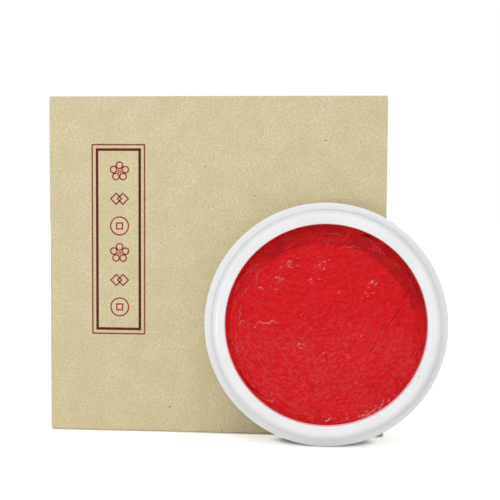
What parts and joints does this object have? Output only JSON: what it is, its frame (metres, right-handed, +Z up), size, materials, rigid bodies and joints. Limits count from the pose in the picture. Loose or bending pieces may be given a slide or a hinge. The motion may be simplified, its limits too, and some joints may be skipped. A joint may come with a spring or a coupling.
{
  "type": "seal paste box",
  "caption": "Square paper-covered card box with a slide-out tray, standing on edge, and a round white porcelain jar of red seal paste leaning on its face.",
  "frame": {"origin": "on the table, at the middle of the card box's footprint", "axes": "+X to the right along the printed face, +Y from the printed face to the back of the box, +Z up"},
  "size_m": [0.146, 0.0595, 0.125],
  "materials": {
    "greyboard": "matte",
    "stay_tape": "matte",
    "wrap_paper": "matte",
    "lining_paper": "matte",
    "foam": "matte",
    "satin_cloth": "satin",
    "porcelain": "gloss",
    "seal_paste": "satin"
  },
  "bodies": {
    "cover": {"cover_face_board": "greyboard", "cover_left_board": "greyboard", "cover_right_board": "greyboard", "cover_top_board": "greyboard", "cover_bottom_board": "greyboard", "cover_corner_stays": "stay_tape", "cover_wrap": "wrap_paper", "cover_lining": "lining_paper"},
    "tray": {"tray_floor_board": "greyboard", "tray_left_board": "greyboard", "tray_right_board": "greyboard", "tray_top_board": "greyboard", "tray_bottom_board": "greyboard", "tray_corner_stays": "stay_tape", "tray_wrap": "wrap_paper", "tray_lining": "lining_paper", "insert_block": "foam", "nest_pad": "satin_cloth", "insert_cloth": "satin_cloth"},
    "jar": {"jar_bowl": "porcelain", "seal_paste": "seal_paste"},
    "lid": {"jar_lid": "porcelain"}
  },
  "joints": [
    {"name": "tray_pull", "type": "slide", "parent": "cover", "child": "tray", "axis": [0, 1, 0], "range_m": [0, 0.1]},
    {"name": "jar_lift", "type": "slide", "parent": "cover", "child": "jar", "axis": [0, 0, 1], "range_m": [0, 0.13]},
    {"name": "lid_slide", "type": "slide", "parent": "tray", "child": "lid", "axis": [0, -1, 0], "range_m": [0, 0.0137]}
  ]
}
